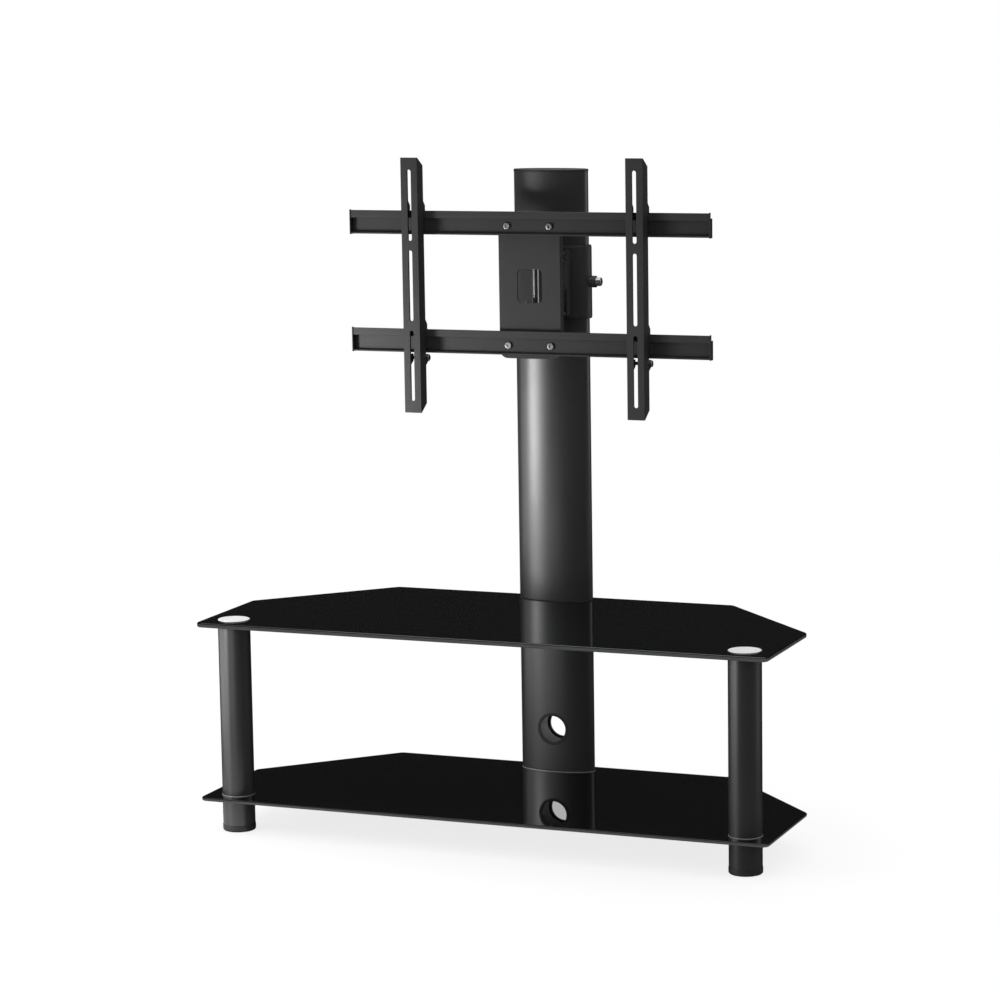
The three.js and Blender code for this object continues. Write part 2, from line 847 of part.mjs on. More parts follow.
const armSlots = () => {
  const room = armLength - 2 * armSlotMargin - (armSlotCount - 1) * armSlotBridge;
  const slot = room / armSlotCount;
  const reach = slot / 2 - armSlotWidth / 2;
  return Array.from({ length: armSlotCount }, (_, i) => {
    const z = -armLength / 2 + armSlotMargin + slot / 2 + i * (slot + armSlotBridge);
    const shape = new THREE.Shape();
    shape.absarc(0, z - reach, armSlotWidth / 2, Math.PI, 2 * Math.PI, false);
    shape.absarc(0, z + reach, armSlotWidth / 2, 0, Math.PI, false);
    const depth = armThickness + 2 * cutOverrun;
    const settings = { depth, bevelEnabled: false, curveSegments: cornerSteps };
    const geometry = new THREE.ExtrudeGeometry(shape, settings).rotateX(Math.PI / 2);
    return solidOf(geometry.translate(0, armFlangeRear + cutOverrun, 0));
  });
};

const lockBoltBore = (diameter, left, right) => {
  const radius = diameter / 2;
  const geometry = new THREE.CylinderGeometry(radius, radius, right - left, boltSteps);
  geometry.rotateZ(Math.PI / 2).translate((left + right) / 2, lockBoltY, tailZ);
  return solidOf(geometry);
};

const screenArm = (name) => {
  const half = armWidth / 2;
  const web = webShape();
  const flange = block(-half, half, armFront, armFlangeRear, -armLength / 2, armLength / 2);
  const solid = cut(
    join(flange, spread(web, -half, armThickness - half), spread(web, half - armThickness, half)),
    ...armSlots(),
    lockBoltBore(lockBoltDiameter + 2 * seatGap, -half - cutOverrun, half + cutOverrun),
  );
  return piece(name, 'mountBlack', solid);
};

const lockBolt = (name) => {
  const half = armWidth / 2;
  const solid = join(
    lockBoltBore(lockBoltDiameter, -half - lockBoltHeadLength, half + lockBoltHeadLength),
    lockBoltBore(lockBoltHeadDiameter, half + seatGap, half + lockBoltHeadLength),
    lockBoltBore(lockBoltHeadDiameter, -half - lockBoltHeadLength, -half - seatGap),
  );
  return piece(name, 'zincSteel', solid);
};

const arm = (side, x) => {
  const group = new THREE.Group();
  group.add(screenArm(`${side}_screen_arm`), lockBolt(`${side}_arm_lock_bolt`));
  return placed(group, x, columnY + swivelY, mountHeight);
};

const stand = new THREE.Group();
stand.name = 'tv_stand_with_mount';
stand.add(
  placed(shelf('lower_glass_shelf', lowerGlass, rodHoleRadius, 0), 0, 0, lowerShelfBottom),
  placed(
    shelf('upper_glass_shelf', upperGlass, capBossHoleRadius, cablePassDiameter / 2),
    0,
    0,
    upperShelfBottom,
  ),
  leg('left', -legX),
  leg('right', legX),
  column(),
  carriage(),
  head(),
  arm('left', -armSpacing / 2),
  arm('right', armSpacing / 2),
);

export default stand;
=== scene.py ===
from math import cos, pi, radians, sin

import bmesh
import bpy
import numpy as np
from mathutils import Matrix, Vector
from mathutils.geometry import tessellate_polygon


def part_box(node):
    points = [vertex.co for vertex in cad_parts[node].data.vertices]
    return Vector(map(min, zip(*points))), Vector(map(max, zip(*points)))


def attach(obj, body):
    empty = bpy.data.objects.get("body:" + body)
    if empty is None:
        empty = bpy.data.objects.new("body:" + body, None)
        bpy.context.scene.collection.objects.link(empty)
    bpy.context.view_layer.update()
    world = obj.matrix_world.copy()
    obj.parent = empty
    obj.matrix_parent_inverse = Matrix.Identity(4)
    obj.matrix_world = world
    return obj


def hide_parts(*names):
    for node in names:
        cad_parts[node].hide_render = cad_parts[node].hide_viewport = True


# Glass media stand with an oval column and a screen mount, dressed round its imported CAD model.
# Metres, +Z up, the front faces -Y, the origin is on the floor under the middle of the glass.
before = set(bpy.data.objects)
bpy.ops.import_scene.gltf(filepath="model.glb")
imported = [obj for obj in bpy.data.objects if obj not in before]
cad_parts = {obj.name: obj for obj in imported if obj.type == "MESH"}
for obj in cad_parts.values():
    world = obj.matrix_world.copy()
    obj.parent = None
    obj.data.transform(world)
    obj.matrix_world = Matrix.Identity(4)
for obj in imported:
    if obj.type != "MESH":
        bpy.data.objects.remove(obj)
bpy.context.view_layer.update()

MM = 0.001

# Camera: the photograph's viewing angle, found by fitting the glass corners, legs and column
CAMERA_AZIMUTH = radians(22.063)
CAMERA_ELEVATION = radians(8.566)
CAMERA_ROLL = radians(-0.903)
CAMERA_DISTANCE = 5.5344
CAMERA_TARGET = Vector((-0.0301, 0, 0.5578))
CAMERA_LENS = 119.31

# Steps of the surfaces, and what counts as one point or as a sharp edge
MERGE_DISTANCE = 0.002 * MM
SHARP_ANGLE = radians(32)
SCREW_STEPS = 48
ROUND_STEPS = 112
ARC_STEPS = 4
BORE_STEPS = 40
PATCH_STEPS = 14
PATCH_RINGS = 6
SHOULDER_STEPS = 28
WALL_ROWS = 12

# Glass shelves
SHELF_SIDE_RUN = 219 * MM
SHELF_REAR_CHAMFER = 190 * MM
SHELF_CORNER = 12 * MM
SHELF_CORNER_STEPS = 12
GLASS_EDGE_SHARE = 0.34
GLASS_EDGE_STEPS = 8
# Share of the edge's rounding, at its top, that takes the black glass finish as painted shade
GLASS_DARK_TOP_SHARE = 0.75
LEG_FRONT_INSET = 46 * MM
ROD_HOLE = 4.5 * MM
CAP_BOSS_HOLE = 8 * MM
COLUMN_BOLT_HOLE = 5.5 * MM
COLUMN_BOLT_X = 46 * MM
CABLE_PASS = 20 * MM

# Legs and column
TUBE_EDGE = 0.3 * MM
FOOT_PLUG_INSET = 2 * MM
FOOT_PAD_ROUND = 3 * MM
FOOT_PAD_TOP_ROUND = 0.5 * MM
LEG_WALL = 1.5 * MM
COLUMN_WALL = 2 * MM
COLUMN_PLATE = 4 * MM
CABLE_HOLE_RADIUS = 26 * MM
CABLE_HOLE_HEIGHT = 137 * MM
CABLE_ENTRY_HEIGHT = 640 * MM
PATCH_REACH = 1.3
GROMMET_BORE = 23 * MM
GROMMET_LIP = 28 * MM
GROMMET_PROUD = 0.7 * MM
GROMMET_BAND = 1.2 * MM
GROMMET_STEPS = 72
GASKET_BAND = 8 * MM
RING_EDGE = 0.4 * MM
CAP_GROOVE_RADIUS = 17 * MM
CAP_GROOVE_WIDTH = 1.4 * MM
CAP_GROOVE_DEPTH = 0.2 * MM

# Mount
SLEEVE_INNER = 2.1 * MM
SLEEVE_OUTER = 4.6 * MM
LINER_INNER = 0.3 * MM
LINER_OUTER = 1.8 * MM
LINER_HEIGHT = 30 * MM
LINER_FLANGE = 2 * MM
LINER_FLANGE_INSET = 0.6 * MM
PAD_WIDTH = 84 * MM
PAD_HEIGHT = 110 * MM
CLAMP_BOSS_RADIUS = 10 * MM
MOUNT_EDGE = 0.5 * MM
WASHER_BORE = 6.3 * MM
PIN_RADIUS = 6 * MM
PIN_HEAD = 5 * MM

# Screws: the head's radius and height, the socket's half-width and, where it shows, the shank's radius
SOCKET_FLOOR = 0.45
CLAMP_SCREW = (7.5 * MM, 9 * MM, 3 * MM, 4 * MM)
ARM_SCREW = (5.5 * MM, 3.7 * MM, 2 * MM, 3 * MM)
BASE_SCREW = (5 * MM, 2.8 * MM, 2 * MM)
BASE_SCREW_X = 32 * MM
BASE_SCREW_Z = 38 * MM
BASE_PLATE = 3 * MM
RAIL_SCREW = (6 * MM, 3.2 * MM, 2.5 * MM)
RAIL_SCREW_X = 38 * MM
RAIL_SCREW_RISE = 16 * MM
RAIL_SCREW_SINK = 2.5 * MM

# Stage: sizes in metres, turns in degrees, and how strongly the cards and the surroundings glow
FLOOR_HALF = 6.0
FLOOR_HEIGHT = -0.4 * MM
FLOOR_GREY = 0.95
FLOOR_FADE = (0.9, 2.2)
FLOOR_CLEARNESS = 0.8
# Dark glowing cards that only reflections see: a painted dark reflection round and under the object
DARK_CARD_RADIUS = 4.2
DARK_CARD_LOW = -0.2 * MM
DARK_CARD_TOP = 5.5
DARK_REFLECTION_GLOW = 0.017
DARK_CARD_STEPS = 64
# A glowing card behind the lower cable hole: a painted reflection in the lower glass
HOLE_REFLECTION_GAP = 1 * MM
HOLE_REFLECTION_GLOW = 1.4
# A glowing white sector before the left foot: a painted reflection in the foot
FOOT_REFLECTION_TURN = (-110, 60)
FOOT_REFLECTION_REACH = (0.03, 0.35)
FOOT_REFLECTION_HEIGHT = -0.1 * MM
FOOT_REFLECTION_GLOW = 0.75
FOOT_REFLECTION_STEPS = 25
AMBIENT = 0.85


# Camera
def look(target, azimuth, elevation, roll, distance):
    """The camera's place: back along its view from the target, turned by its roll about that line."""
    back = Vector((
        sin(azimuth) * cos(elevation),
        -cos(azimuth) * cos(elevation),
        sin(elevation),
    ))
    level = Vector((cos(azimuth), sin(azimuth), 0))
    upright = back.cross(level)
    right = cos(roll) * level + sin(roll) * upright
    up = cos(roll) * upright - sin(roll) * level
    place = Matrix((right, up, back)).transposed().to_4x4()
    place.translation = target + distance * back
    return place


camera_data = bpy.data.cameras.new("camera")
camera_data.lens = CAMERA_LENS
camera_data.sensor_width = 36
camera_data.clip_end = 50
camera = bpy.data.objects.new("camera", camera_data)
camera.matrix_world = look(
    CAMERA_TARGET, CAMERA_AZIMUTH, CAMERA_ELEVATION, CAMERA_ROLL, CAMERA_DISTANCE
)
bpy.context.scene.collection.objects.link(camera)
bpy.context.scene.camera = camera
bpy.context.scene.view_settings.view_transform = "Standard"


# Shader expressions
class Output:
    """An output socket; sums and products of it add the Math nodes that they need."""

    def __init__(self, nodes, socket):
        self.nodes = nodes
        self.socket = socket

    def math(self, operation, first, second):
        node = self.nodes.add("ShaderNodeMath", {"operation": operation}, {0: first, 1: second})
        return self.nodes.out(node)

    def __add__(self, other):
        return self.math("ADD", self, other)

    def __radd__(self, other):
        return self.math("ADD", other, self)

    def __rmul__(self, other):
        return self.math("MULTIPLY", other, self)

    def higher(self, other):
        return self.math("MAXIMUM", self, other)

    def above(self, low, high):
        """0 below low, 1 above high, and a smooth step between them."""
        node = self.nodes.add(
            "ShaderNodeMapRange",
            {"interpolation_type": "SMOOTHSTEP"},
            {"Value": self, "From Min": low, "From Max": high},
        )
        return self.nodes.out(node, "Result")


class Nodes:
    """A node tree that is filled by one method for every type of node."""

    def __init__(self, tree):
        self.tree = tree
        self.tree.nodes.clear()

    def add(self, kind, settings=None, inputs=None):
        """One node: its settings, then its sockets' values or links."""
        node = self.tree.nodes.new(kind)
        for key, value in (settings or {}).items():
            setattr(node, key, value)
        for key, value in (inputs or {}).items():
            if isinstance(value, Output):
                self.tree.links.new(value.socket, node.inputs[key])
            else:
                node.inputs[key].default_value = value
        return node

    def out(self, node, name=0):
        return Output(self, node.outputs[name])

    def place(self, stretch=(1, 1, 1)):
        """Object coordinates in metres, each axis multiplied by its stretch."""
        where = self.out(self.add("ShaderNodeTexCoord"), "Object")
        if stretch == (1, 1, 1):
            return where
        mapping = self.add("ShaderNodeMapping", None, {"Vector": where, "Scale": stretch})
        return self.out(mapping, "Vector")

    def noise(self, scale, detail=2.0, stretch=(1, 1, 1)):
        inputs = {"Vector": self.place(stretch), "Scale": scale, "Detail": detail}
        return self.out(self.add("ShaderNodeTexNoise", None, inputs), "Fac")

    def bump(self, height, distance):
        """The normal of a surface raised by height times distance, in metres."""
        inputs = {"Height": height, "Distance": distance, "Strength": 1.0}
        return self.out(self.add("ShaderNodeBump", None, inputs), "Normal")

    def tint(self, amount, first, second):
        """The first colour where amount is 0, the second where it is 1."""
        node = self.add(
            "ShaderNodeMix", {"data_type": "RGBA"}, {"Factor": amount, 6: first, 7: second}
        )
        return self.out(node, 2)


def rgb(red, green, blue):
    return (red, green, blue, 1)


def grey(level):
    return rgb(level, level, level)


def new_finish(name):
    material = bpy.data.materials.new(name)
    material.use_nodes = True
    return material, Nodes(material.node_tree)


def surface(nodes, inputs):
    """The Principled surface of a finish, with these values or links in its sockets."""
    shader = nodes.add("ShaderNodeBsdfPrincipled", None, inputs)
    nodes.add("ShaderNodeOutputMaterial", None, {"Surface": nodes.out(shader)})


# Finishes of the stand
def black_glass():
    """Mirror black glass: faint wiped smears and a few specks of dust make it a little rougher."""
    material, nodes = new_finish("black_glass")
    smears = nodes.noise(9, 4, (1, 3.5, 1)).above(0.5, 0.75)
    dust = nodes.noise(700, 1).above(0.76, 0.8)
    surface(nodes, {
        "Base Color": nodes.tint(dust, rgb(0.0042, 0.0045, 0.005), grey(0.03)),
        "Roughness": 0.012 + 0.02 * smears + 0.25 * dust,
        "IOR": 1.62,
    })
    return material


def polished_edge():
    """The ground edge of the glass, given a polish: grey, with fine lines along the thickness."""
    material, nodes = new_finish("polished_glass_edge")
    lines = nodes.noise(60, 3, (1, 1, 12))
    surface(nodes, {
        "Base Color": nodes.tint(lines, rgb(0.056, 0.059, 0.060), rgb(0.088, 0.092, 0.094)),
        "Roughness": 0.4 + 0.16 * lines,
        "IOR": 1.45,
    })
    return material


def coated_steel(name, base, roughness, grain, depth, coat, specular):
    """Powder-coated steel: a fine orange peel, with slow changes of gloss over it."""
    material, nodes = new_finish(name)
    peel = nodes.noise(grain, 2)
    drift = nodes.noise(14, 3)
    surface(nodes, {
        "Base Color": nodes.tint(drift, grey(0.85 * base), grey(1.15 * base)),
        "Roughness": roughness - 0.03 + 0.06 * drift,
        "Specular IOR Level": specular,
        "Coat Weight": coat,
        "Coat Roughness": 0.3,
        "Normal": nodes.bump(peel, depth),
    })
    return material


def brushed_silver():
    """Bright brushed metal: long fine lines across it move both gloss and shade."""
    material, nodes = new_finish("brushed_silver")
    lines = nodes.noise(900, 2, (0.02, 1, 1))
    surface(nodes, {
        "Base Color": nodes.tint(lines, grey(0.82), grey(0.92)),
        "Metallic": 0.25,
        "Roughness": 0.34 + 0.16 * lines,
        "Normal": nodes.bump(lines, 0.01 * MM),
    })
    return material


def zinc_steel():
    """Zinc-plated steel: a mottled, slightly warm grey."""
    material, nodes = new_finish("zinc_steel")
    mottle = nodes.noise(260, 4)
    surface(nodes, {
        "Base Color": nodes.tint(mottle, rgb(0.42, 0.43, 0.44), rgb(0.62, 0.62, 0.60)),
        "Metallic": 1.0,
        "Roughness": 0.24 + 0.2 * mottle,
        "Normal": nodes.bump(mottle, 0.02 * MM),
    })
    return material


def bare_steel_painted_light(name, dark, light, metallic, roughness):
    """Pale grey steel in soft patches, which carries painted light: the tube's inside, uncoated and
    made paler so that it reads lit, and the outer band of a ring, a painted highlight.
    """
    material, nodes = new_finish(name)
    patches = nodes.noise(70, 4, (1, 1, 0.4))
    surface(nodes, {
        "Base Color": nodes.tint(patches, grey(dark), grey(light)),
        "Metallic": metallic,
        "Roughness": roughness + 0.16 * patches,
    })
    return material


def moulded(name, dark, light, roughness, grain, depth):
    """Moulded rubber or plastic with a fine even grain."""
    material, nodes = new_finish(name)
    spark = nodes.noise(grain, 2)
    drift = nodes.noise(30, 3)
    surface(nodes, {
        "Base Color": nodes.tint(drift, dark, light),
        "Roughness": roughness + 0.1 * drift,
        "Normal": nodes.bump(spark, depth),
    })
    return material


finishes = {
    "black_glass": black_glass(),
    "glass_edge": polished_edge(),
    "gloss_black_steel": coated_steel("gloss_black_steel", 0.02, 0.36, 420, 0.02 * MM, 0.1, 1.0),
    "satin_black_steel": coated_steel("satin_black_steel", 0.02, 0.34, 900, 0.03 * MM, 0.0, 1.0),
    "mount_black_steel": coated_steel("mount_black_steel", 0.022, 0.42, 1300, 0.05 * MM, 0.0, 0.5),
    "brushed_silver": brushed_silver(),
    # Inside of the column: uncoated steel, partly painted light, made pale so that the shaded inside
    # reads lit
    "tube_inside_painted_light": bare_steel_painted_light("tube_inside_painted_light", 0.5, 0.72, 0.0, 0.5),
    # Outer band of the base rings: a pale grey painted highlight
    "ring_painted_highlight": bare_steel_painted_light("ring_painted_highlight", 0.32, 0.44, 0.5, 0.25),
    "zinc_steel": zinc_steel(),
    "black_rubber": moulded("black_rubber", grey(0.011), grey(0.018), 0.68, 1500, 0.06 * MM),
    "black_plastic": moulded("black_plastic", grey(0.014), grey(0.022), 0.42, 2200, 0.04 * MM),
    "pale_nylon": moulded(
        "pale_nylon", rgb(0.66, 0.64, 0.58), rgb(0.74, 0.72, 0.66), 0.42, 1800, 0.02 * MM
    ),
}
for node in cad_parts.values():
    for material_slot in node.material_slots:
        material_slot.material = finishes[material_slot.material.name]


# Shapes
def unit(vectors):
    return vectors / np.linalg.norm(vectors, axis=-1, keepdims=True)


def softened(corners, radius, steps=ARC_STEPS, inset=0.0, closed=True):
    """A polygon or profile with rounded corners: each corner gives way to an arc that touches both
    of its sides. inset moves the whole line towards the arcs' centres, which stay where they are."""
    corners = np.asarray(corners, float)
    radius = np.broadcast_to(np.asarray(radius, float), len(corners)).copy()
    if not closed:
        radius[[0, -1]] = 0
    before = unit(np.roll(corners, 1, axis=0) - corners)
    after = unit(np.roll(corners, -1, axis=0) - corners)
    if not closed:
        before[0] = -after[0]
        after[-1] = -before[-1]
    half = np.arccos(np.clip((before * after).sum(1), -1, 1)) / 2
    straight = radius == 0
    middle = unit(np.where(straight[:, None], before, before + after))
    reach = np.where(straight, 0, radius / np.tan(np.maximum(half, 1e-6)))
    centre = corners + middle * np.where(straight, 0, radius / np.sin(half))[:, None]
    start = corners + before * reach[:, None] - centre
    end = corners + after * reach[:, None] - centre
    first = np.arctan2(start[:, 1], start[:, 0])
    turn = np.arctan2(end[:, 1], end[:, 0]) - first
    turn = (turn + pi) % (2 * pi) - pi
    angle = first[:, None] + turn[:, None] * np.linspace(0, 1, steps + 1)
    arm = (radius - np.where(straight, 0, inset))[:, None]
    arcs = centre[:, None] + np.stack([arm * np.cos(angle), arm * np.sin(angle)], axis=-1)
    return arcs.reshape(-1, 2)


def grid_quads(rows, columns, closed=False):
    """Quads of a grid whose columns run round and meet: point (i, j) is number i * columns + j.
    closed also joins the last row to the first."""
    i = np.arange(rows if closed else rows - 1)[:, None]
    j = np.arange(columns)[None, :]
    up = (i + 1) % rows
    on = (j + 1) % columns
    corners = [i * columns + j, i * columns + on, up * columns + on, up * columns + j]
    return np.stack(np.broadcast_arrays(*corners), axis=-1)


def swept_oval(profile, halves=(0, 0), closed=False, steps=ROUND_STEPS):
    """A profile carried round an oval: at angle t the profile point (d, z) lies at
    ((a + d) cos t, (b + d) sin t, z), where a and b are the oval's half-width and half-depth.
    An open profile is closed to the axis at both ends, and a closed one makes a ring."""
    d, z = np.asarray(profile, float).T
    wide, deep = halves[0] + d, halves[1] + d
    if not closed:
        wide = np.concatenate([[0], wide, [0]])
        deep = np.concatenate([[0], deep, [0]])
        z = np.concatenate([z[:1], z, z[-1:]])
    t = np.arange(steps) * 2 * pi / steps
    points = np.stack([
        wide[:, None] * np.cos(t),
        deep[:, None] * np.sin(t),
        np.broadcast_to(z[:, None], (len(z), steps)),
    ], axis=-1)
    return points.reshape(-1, 3), grid_quads(len(z), steps, closed).reshape(-1, 4)


def flat_face(loops, height):
    """Triangles that fill the first loop of XY points around the others, which are holes in it."""
    points = np.concatenate(loops)
    points = np.column_stack([points, np.full(len(points), height)])
    lines = [[Vector((x, y, 0)) for x, y in loop] for loop in loops]
    return points, np.array(tessellate_polygon(lines))


def circle(radius, x=0.0, y=0.0, steps=BORE_STEPS):
    t = np.arange(steps) * 2 * pi / steps
    return np.column_stack([x + radius * np.cos(t), y + radius * np.sin(t)])


def plate(outline, holes, low, high, edge=0.0, edge_steps=ARC_STEPS):
    """A flat plate: the outline, a function of how far it lies inside the edge, carried up a
    profile with rounded edges, straight walls in its holes, and a flat face at both ends."""
    profile = softened(
        [(edge, low), (0, low), (0, high), (edge, high)], edge * 0.98, edge_steps, closed=False
    )
    rim = np.stack([
        np.column_stack([outline(inset), np.full(len(outline(0.0)), z)]) for inset, z in profile
    ])
    parts = [(rim.reshape(-1, 3), grid_quads(len(profile), rim.shape[1]).reshape(-1, 4))]
    for hole in holes:
        wall = np.stack([np.column_stack([hole, np.full(len(hole), z)]) for z in (low, high)])
        parts.append((wall.reshape(-1, 3), grid_quads(2, len(hole)).reshape(-1, 4)))
    faces = [flat_face([outline(profile[0][0]), *holes], low)]
    faces.append(flat_face([outline(profile[-1][0]), *holes], high))
    return parts, faces


def oval_shell(halves, wall, low, high, hole_height, hole_sides):
    """An oval tube whose wall has round holes in its front (-1) or rear (+1). Both skins are a grid
    of angle and height; round a hole a square of it gives way to rings that blend from the hole's
    circle to the square, in x and z, with y = b * sqrt(1 - (x / a) ** 2). The outer skin comes
    with the rims and the ends, and the inner skin apart, because it has another finish."""
    reach = CABLE_HOLE_RADIUS * PATCH_REACH
    across = np.linspace(-reach, reach, PATCH_STEPS + 1)
    heights = np.concatenate([
        np.linspace(low, hole_height - reach, WALL_ROWS)[:-1],
        hole_height + across,
        np.linspace(hole_height + reach, high, WALL_ROWS)[1:],
    ])
    first_row = WALL_ROWS - 1
    ring = np.arange(4 * PATCH_STEPS)
    angle = -3 * pi / 4 + ring * pi / (2 * PATCH_STEPS)
    circle_xz = CABLE_HOLE_RADIUS * np.column_stack([np.cos(angle), np.sin(angle)])
    flat = np.full(PATCH_STEPS, reach)
    square_xz = np.concatenate([
        np.column_stack([across[:-1], -flat]),
        np.column_stack([flat, across[:-1]]),
        np.column_stack([-across[:-1], flat]),
        np.column_stack([-flat, -across[:-1]]),
    ])
    share = np.linspace(0, 1, PATCH_RINGS + 1)[:, None, None]
    patch_xz = (1 - share) * circle_xz + share * square_xz
    skins, rims, ends = [], [], []
    for inset in (0.0, wall):
        parts = []
        a, b = halves[0] - inset, halves[1] - inset
        corner = np.arccos(reach / a)
        shoulder = np.linspace(-corner, corner, SHOULDER_STEPS + 1)[:-1]
        flank = np.arccos(across / a)
        t = np.concatenate([-flank[:-1], shoulder, flank[::-1][:-1], shoulder + pi])
        skin = np.stack([
            np.broadcast_to(a * np.cos(t), (len(heights), len(t))),
            np.broadcast_to(b * np.sin(t), (len(heights), len(t))),
            np.broadcast_to(heights[:, None], (len(heights), len(t))),
        ], axis=-1)
        quads = grid_quads(len(heights), len(t))
        kept = np.ones(quads.shape[:2], bool)
        for side in hole_sides:
            first_column = 0 if side < 0 else PATCH_STEPS + SHOULDER_STEPS
            kept[
                first_row:first_row + PATCH_STEPS, first_column:first_column + PATCH_STEPS
            ] = False
            x, z = patch_xz[..., 0], patch_xz[..., 1]
            y = side * b * np.sqrt(1 - (x / a) ** 2)
            patch = np.stack([x, y, z + hole_height], axis=-1)
            rims.append(patch[0])
            rows = grid_quads(PATCH_RINGS + 1, len(ring)).reshape(-1, 4)
            parts.append((patch.reshape(-1, 3), rows))
        parts.append((skin.reshape(-1, 3), quads[kept]))
        skins.append(parts)
        ends.append(skin[[0, -1]])
    outside, inside = skins
    for outer, inner in [(ends[0][0], ends[1][0]), (ends[0][1], ends[1][1])]:
        outside.append((np.concatenate([outer, inner]), grid_quads(2, len(outer)).reshape(-1, 4)))
    holes = len(hole_sides)
    for outer, inner in zip(rims[:holes], rims[holes:]):
        outside.append((np.concatenate([outer, inner]), grid_quads(2, len(outer)).reshape(-1, 4)))
    return outside, inside


def moved(parts, centre, axis=(0, 0, 1)):
    """The parts turned so that their Z lies along the axis, then carried to the centre."""
    turn = np.array(Vector((0, 0, 1)).rotation_difference(Vector(axis)).to_matrix())
    return [(points @ turn.T + np.array(centre), faces) for points, faces in parts]


def finished(name, parts, body, finish, nodes=(), edge=0.0, flats=(), others=(), other=None):
    """One piece of the stand from parts, which are pairs of points and faces: doubles are merged so
    that seams and poles close, and faces are turned outwards. flats are the parts that are shaded
    flat, and others the parts that have the finish other. edge rounds what is still sharp."""
    points, rows, smooth, slots = [], [], [], []
    count = 0
    for is_smooth, number, group in ((True, 0, parts), (False, 0, flats), (True, 1, others)):
        for part_points, part_faces in group:
            points.append(part_points)
            rows.extend((part_faces + count).tolist())
            smooth.extend([is_smooth] * len(part_faces))
            slots.extend([number] * len(part_faces))
            count += len(part_points)
    mesh = bpy.data.meshes.new(name)
    mesh.from_pydata(np.concatenate(points).tolist(), [], rows)
    mesh.polygons.foreach_set("use_smooth", smooth)
    mesh.polygons.foreach_set("material_index", slots)
    shape = bmesh.new()
    shape.from_mesh(mesh)
    bmesh.ops.remove_doubles(shape, verts=shape.verts, dist=MERGE_DISTANCE)
    bmesh.ops.recalc_face_normals(shape, faces=shape.faces)
    shape.to_mesh(mesh)
    shape.free()
    return dressed(name, mesh, body, finish, nodes, edge, other)


def dressed(name, mesh, body, finish, nodes, edge, other=None):
    """The mesh as a piece on its body, with its finish, in place of its CAD nodes."""
    mesh.materials.append(finishes[finish])
    if other:
        mesh.materials.append(finishes[other])
    if not edge:
        mesh.set_sharp_from_angle(angle=SHARP_ANGLE)
    piece = bpy.data.objects.new(name, mesh)
    bpy.context.scene.collection.objects.link(piece)
    if edge:
        bevel = piece.modifiers.new("rounded_edges", "BEVEL")
        bevel.width = edge
        bevel.segments = 2
        bevel.limit_method = "ANGLE"
        bevel.angle_limit = SHARP_ANGLE
    even = piece.modifiers.new("even_shading", "WEIGHTED_NORMAL")
    even.keep_sharp = True
    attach(piece, body)
    if nodes:
        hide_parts(*nodes)
    return piece


def from_node(name, node, body, finish, edge):
    """A CAD node's own shape with its triangles merged into whole faces and its edges rounded."""
    mesh = bpy.data.meshes.new(name)
    shape = bmesh.new()
    shape.from_mesh(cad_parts[node].data)
    bmesh.ops.remove_doubles(shape, verts=shape.verts, dist=MERGE_DISTANCE)
    bmesh.ops.dissolve_limit(
        shape, angle_limit=radians(0.5), verts=shape.verts, edges=shape.edges
    )
    for face in shape.faces:
        face.smooth = True
    shape.to_mesh(mesh)
    shape.free()
    return dressed(name, mesh, body, finish, [node], edge)


def box_of(node):
    low, high = (np.array(corner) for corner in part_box(node))
    return low, high, (low + high) / 2


def turned(name, node, body, finish, profile, closed=False):
    """A round piece in a CAD node's place: its profile is carried round the node's axis."""
    middle = box_of(node)[2]
    parts = moved([swept_oval(profile, closed=closed)], (middle[0], middle[1], 0))
    return finished(name, parts, body, finish, [node])


# Glass shelves
def shelf_outline(inset):
    low, high, _ = box_of("upper_glass_shelf")
    half = high[0]
    rear_half = half - SHELF_REAR_CHAMFER
    front, rear = low[1], high[1]
    side = front + SHELF_SIDE_RUN
    corners = [
        (-half, front), (half, front), (half, side),
        (rear_half, rear), (-rear_half, rear), (-half, side),
    ]
    return softened(corners, SHELF_CORNER, SHELF_CORNER_STEPS, inset)


def shelf(name, node, leg_hole, cable_pass):
    low, high, _ = box_of(node)
    leg_x = box_of("right_leg_tube")[2][0]
    leg_y = low[1] + LEG_FRONT_INSET
    column_y = box_of("lower_column")[2][1]
    holes = [circle(leg_hole, side * leg_x, leg_y) for side in (-1, 1)]
    holes += [circle(COLUMN_BOLT_HOLE, side * COLUMN_BOLT_X, column_y) for side in (-1, 1)]
    if cable_pass:
        holes.append(circle(cable_pass, 0, column_y))
    edge = GLASS_EDGE_SHARE * (high[2] - low[2])
    parts, faces = plate(shelf_outline, holes, low[2], high[2], edge, GLASS_EDGE_STEPS)
    points, rows = parts[0]
    # The top of the edge's rounding takes the black glass finish and the rest the grey edge finish:
    # painted shade, darker along the top of the edge and lighter below.
    shade_painted_top = points[rows, 2].mean(1) > high[2] - GLASS_DARK_TOP_SHARE * edge
    arc = [(points, rows[shade_painted_top])]
    ground = [(points, rows[~shade_painted_top]), *parts[1:]]
    return finished(
        name, arc, "stand", "black_glass", [node], flats=faces, others=ground, other="glass_edge"
    )


shelves = (
    shelf("upper_shelf", "upper_glass_shelf", CAP_BOSS_HOLE, CABLE_PASS),
    shelf("lower_shelf", "lower_glass_shelf", ROD_HOLE, 0.0),
)


# Front legs
def ring_profile(node, inner, round_over):
    """The closed section of a flat ring that fills a CAD node's height, from the radius inner out."""
    low, high, _ = box_of(node)
    outer = (high[0] - low[0]) / 2
    corners = [(outer, low[2]), (outer, high[2]), (inner, high[2]), (inner, low[2])]
    return softened(corners, round_over)


def tube_profile(node, radius, bore, round_over):
    low, high, _ = box_of(node)
    corners = [(radius, low[2]), (radius, high[2]), (bore, high[2]), (bore, low[2])]
    return softened(corners, round_over)


